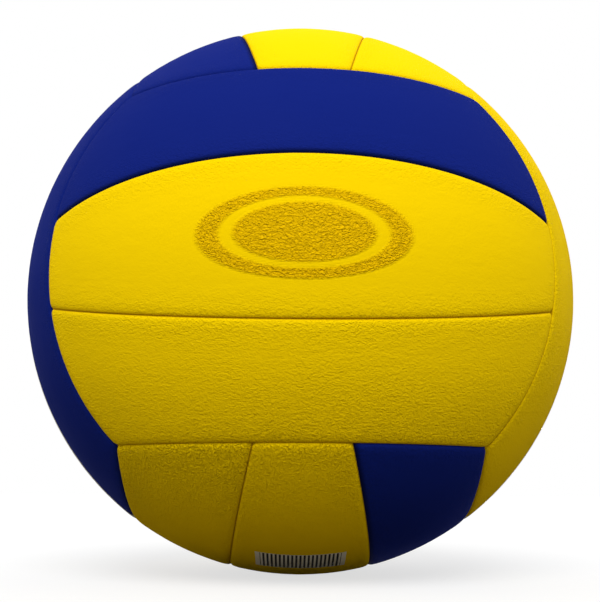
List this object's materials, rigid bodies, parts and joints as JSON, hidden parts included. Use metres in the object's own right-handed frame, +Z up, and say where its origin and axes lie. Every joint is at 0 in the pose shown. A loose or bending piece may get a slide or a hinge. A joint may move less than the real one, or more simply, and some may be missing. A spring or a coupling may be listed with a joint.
{
  "type": "volleyball",
  "caption": "Indoor volleyball: padded leather panels in strips glued edge to edge on a wound rubber carcass, with a bladder and an inflating valve.",
  "frame": {"origin": "centre of the ball", "axes": "-Y out through the middle of the front face, +Z up through the middle of the top face, +Y out along the valve"},
  "size_m": [0.21, 0.2099, 0.21],
  "materials": {
    "leather_blue": "satin grained synthetic leather, royal blue",
    "leather_yellow": "satin grained synthetic leather, yellow",
    "leather_white": "satin grained synthetic leather, white",
    "foam": "closed-cell foam sheet, matt",
    "carcass_rubber": "moulded rubber, matt",
    "nylon_thread": "wound nylon thread",
    "butyl": "dipped butyl rubber, satin",
    "valve_rubber": "moulded rubber, satin",
    "core_rubber": "soft moulded rubber, satin"
  },
  "bodies": {
    "root": {"panel_front_top": "leather_blue", "panel_front_middle": "leather_yellow", "panel_front_bottom": "leather_yellow", "panel_back_top": "leather_white", "panel_back_middle": "leather_white", "panel_back_bottom": "leather_blue", "panel_right_back": "leather_blue", "panel_right_middle": "leather_white", "panel_right_front": "leather_yellow", "panel_left_back": "leather_white", "panel_left_middle": "leather_white", "panel_left_front": "leather_blue", "panel_top_left": "leather_blue", "panel_top_middle": "leather_yellow", "panel_top_right": "leather_yellow", "panel_bottom_right": "leather_blue", "panel_bottom_middle": "leather_yellow", "panel_bottom_left": "leather_yellow", "pad_front_top": "foam", "pad_front_middle": "foam", "pad_front_bottom": "foam", "pad_back_top": "foam", "pad_back_middle": "foam", "pad_back_bottom": "foam", "pad_right_back": "foam", "pad_right_middle": "foam", "pad_right_front": "foam", "pad_left_back": "foam", "pad_left_middle": "foam", "pad_left_front": "foam", "pad_top_left": "foam", "pad_top_middle": "foam", "pad_top_right": "foam", "pad_bottom_right": "foam", "pad_bottom_middle": "foam", "pad_bottom_left": "foam", "carcass": "carcass_rubber", "thread_winding": "nylon_thread", "bladder": "butyl", "valve_body": "valve_rubber", "valve_core": "core_rubber"}
  },
  "joints": []
}
